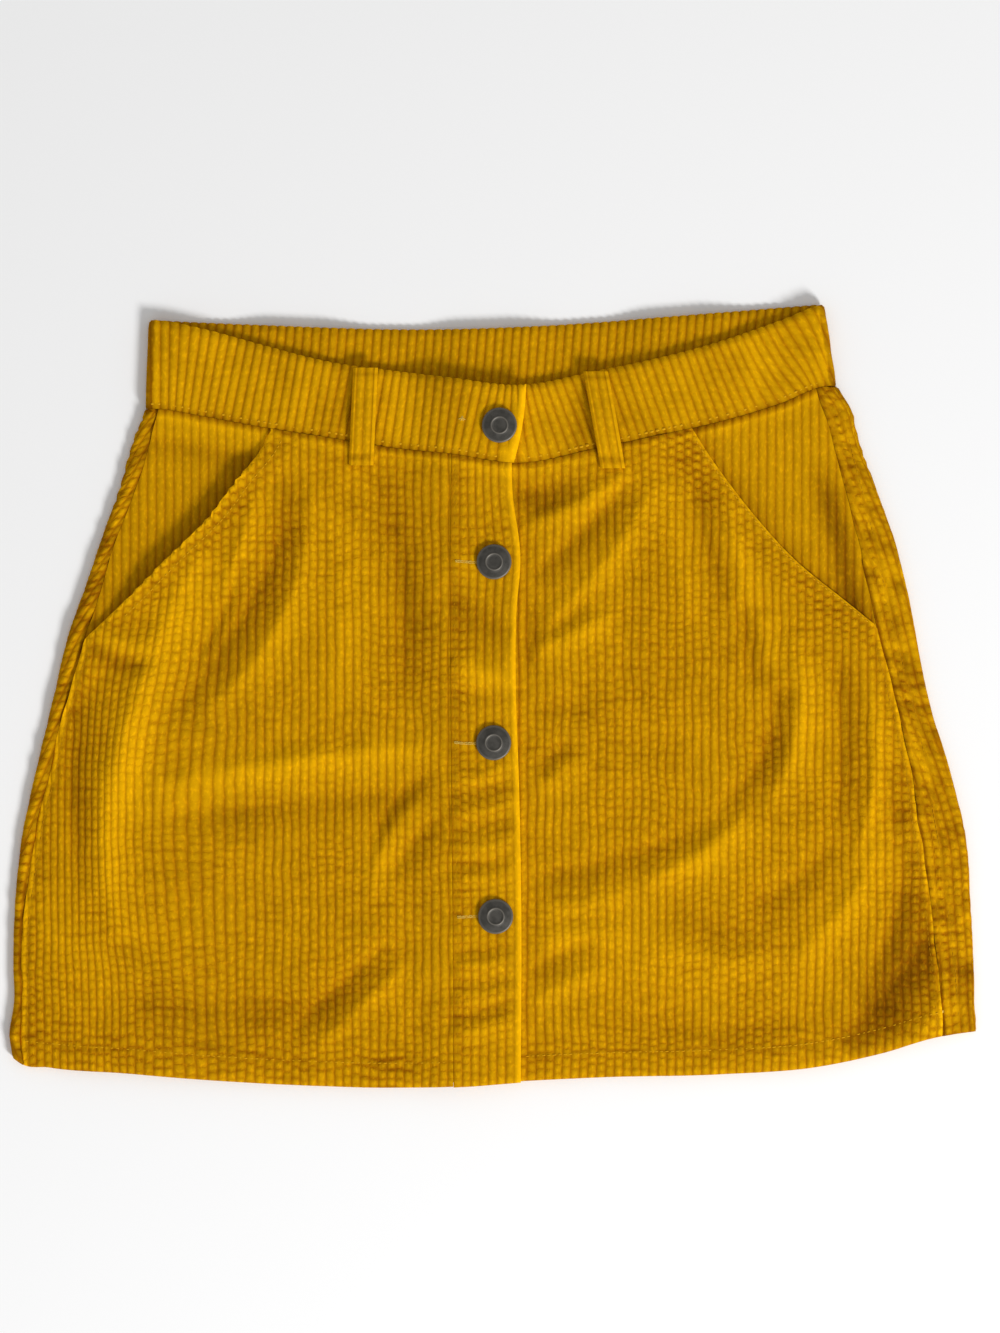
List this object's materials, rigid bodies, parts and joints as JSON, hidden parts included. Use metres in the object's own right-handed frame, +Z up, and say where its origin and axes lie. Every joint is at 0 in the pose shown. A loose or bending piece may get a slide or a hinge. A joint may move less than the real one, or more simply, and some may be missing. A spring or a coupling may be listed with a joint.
{
  "type": "a-line skirt",
  "caption": "A-line mini skirt of wide-wale corduroy, lying flat on its back, with a lapped button front, a dipped waistband, belt loops and slanted pockets.",
  "frame": {"origin": "middle of the outline seen from above, on the surface the skirt lies on", "axes": "+X to the right of the skirt seen from the front, +Y towards the waist, +Z up from the surface"},
  "size_m": [0.4699, 0.38, 0.0155],
  "materials": {
    "corduroy": "mustard jumbo-wale cotton corduroy, ribbed pile, soft matt sheen on the ribs and darker furrows",
    "button_metal": "gunmetal-plated tack button, satin, with a paler worn rim and ring"
  },
  "bodies": {
    "root": {"back": "corduroy", "front_left": "corduroy", "front_right": "corduroy", "placket": "corduroy", "pocket_facing_left": "corduroy", "pocket_facing_right": "corduroy", "waistband": "corduroy", "belt_loop_front_left": "corduroy", "belt_loop_front_right": "corduroy", "belt_loop_back_left": "corduroy", "belt_loop_back_centre": "corduroy", "belt_loop_back_right": "corduroy", "button_1": "button_metal", "button_2": "button_metal", "button_3": "button_metal", "button_4": "button_metal"}
  },
  "joints": []
}
